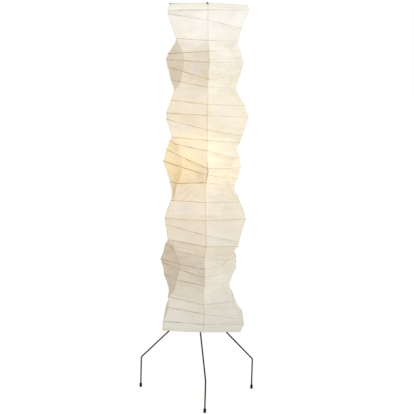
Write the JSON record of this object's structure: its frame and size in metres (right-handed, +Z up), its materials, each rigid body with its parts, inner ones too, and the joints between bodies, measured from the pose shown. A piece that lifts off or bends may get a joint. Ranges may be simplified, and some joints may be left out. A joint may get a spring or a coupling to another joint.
{
  "type": "paper lantern floor lamp",
  "caption": "Tall floor lamp: a folded paper column shade of stacked bulges hung over a slim mast on bent wire legs, lit from inside.",
  "frame": {"origin": "where the mast's axis meets the floor", "axes": "+Z up along the mast, -Y towards the viewer of the picture, +X to that viewer's right"},
  "size_m": [0.4793, 0.4286, 1.6011],
  "materials": {
    "black_steel": "satin black",
    "black_wire": "satin black",
    "zinc_steel": "bright zinc",
    "foot_rubber": "matt black",
    "nylon": "natural nylon",
    "black_plastic": "matt black",
    "bakelite": "moulded, semi-gloss",
    "porcelain": "white glaze",
    "shell_brass": "plain brass",
    "bulb_solder": "dull",
    "bulb_black_glass": "gloss",
    "cap_metal": "rolled",
    "frosted_glass": "frosted",
    "clear_glass": "clear",
    "filament_metal": "drawn wire",
    "rim_steel": "cream",
    "bamboo": "split bamboo",
    "washi_paper": "matt, fibrous"
  },
  "bodies": {
    "stand": {"mast": "black_steel", "mast_collar": "black_steel", "collar_screw": "zinc_steel", "hub_nut": "zinc_steel", "hub_washer_upper": "zinc_steel", "hub_washer_lower": "zinc_steel", "leg_front": "black_wire", "foot_front": "foot_rubber"},
    "left_leg": {"leg_left": "black_wire", "foot_left": "foot_rubber"},
    "right_leg": {"leg_right": "black_wire", "foot_right": "foot_rubber"},
    "clamp_nut": {"clamp_nut": "black_steel"},
    "shade_bearing": {"shade_washer": "nylon"},
    "shade": {"shade_hub": "black_steel", "shade_arm_front": "rim_steel", "shade_arm_right": "rim_steel", "shade_arm_back": "rim_steel", "shade_arm_left": "rim_steel", "rim_wire_top": "rim_steel", "rim_wire_bottom": "rim_steel", "ribs_bulge_1": "bamboo", "ribs_bulge_2": "bamboo", "ribs_bulge_3": "bamboo", "ribs_bulge_4": "bamboo", "ribs_bulge_5": "bamboo", "ribs_bulge_6": "bamboo", "ribs_bulge_7": "bamboo", "paper_front_right": "washi_paper", "paper_right_front": "washi_paper", "paper_right_back": "washi_paper", "paper_back_right": "washi_paper", "paper_back_left": "washi_paper", "paper_left_back": "washi_paper", "paper_left_front": "washi_paper", "paper_front_left": "washi_paper"},
    "lampholder": {"lamp_bracket": "black_steel", "holder_nipple": "zinc_steel", "nipple_nut_lower": "zinc_steel", "nipple_nut_upper": "zinc_steel", "cord_gland": "black_plastic", "holder_body": "bakelite", "holder_insulator": "porcelain", "holder_screw_shell": "shell_brass", "holder_centre_contact": "shell_brass"},
    "thumb_screw": {"bracket_thumb_screw": "zinc_steel"},
    "bulb": {"bulb_contact": "bulb_solder", "bulb_insulator": "bulb_black_glass", "bulb_cap": "cap_metal", "bulb_globe": "frosted_glass", "bulb_stem": "clear_glass", "bulb_filament": "filament_metal"}
  },
  "joints": [
    {"name": "left_leg_swing", "type": "hinge", "parent": "stand", "child": "left_leg", "pos_m": [0, 0, 0.3757], "axis": [0, 0, 1], "range_deg": [-15, 85]},
    {"name": "right_leg_swing", "type": "hinge", "parent": "stand", "child": "right_leg", "pos_m": [0, 0, 0.3633], "axis": [0, 0, -1], "range_deg": [-15, 82]},
    {"name": "clamp_nut_turn", "type": "hinge", "parent": "stand", "child": "clamp_nut", "pos_m": [0, 0, 0.3511], "axis": [0, 0, 1], "continuous": true},
    {"name": "shade_turn", "type": "hinge", "parent": "stand", "child": "shade_bearing", "pos_m": [0, 0, 1.591], "axis": [0, 0, 1], "continuous": true},
    {"name": "shade_lift", "type": "slide", "parent": "shade_bearing", "child": "shade", "axis": [0, 0, 1], "range_m": [0, 1.32]},
    {"name": "lampholder_height", "type": "slide", "parent": "stand", "child": "lampholder", "axis": [0, 0, 1], "range_m": [-0.4, 0.55]},
    {"name": "thumb_screw_turn", "type": "hinge", "parent": "lampholder", "child": "thumb_screw", "pos_m": [0.012, 0, 0.8515], "axis": [1, 0, 0], "continuous": true},
    {"name": "bulb_turn", "type": "hinge", "parent": "lampholder", "child": "bulb", "pos_m": [-0.045, 0, 0.9], "axis": [0, 0, 1], "continuous": true}
  ]
}
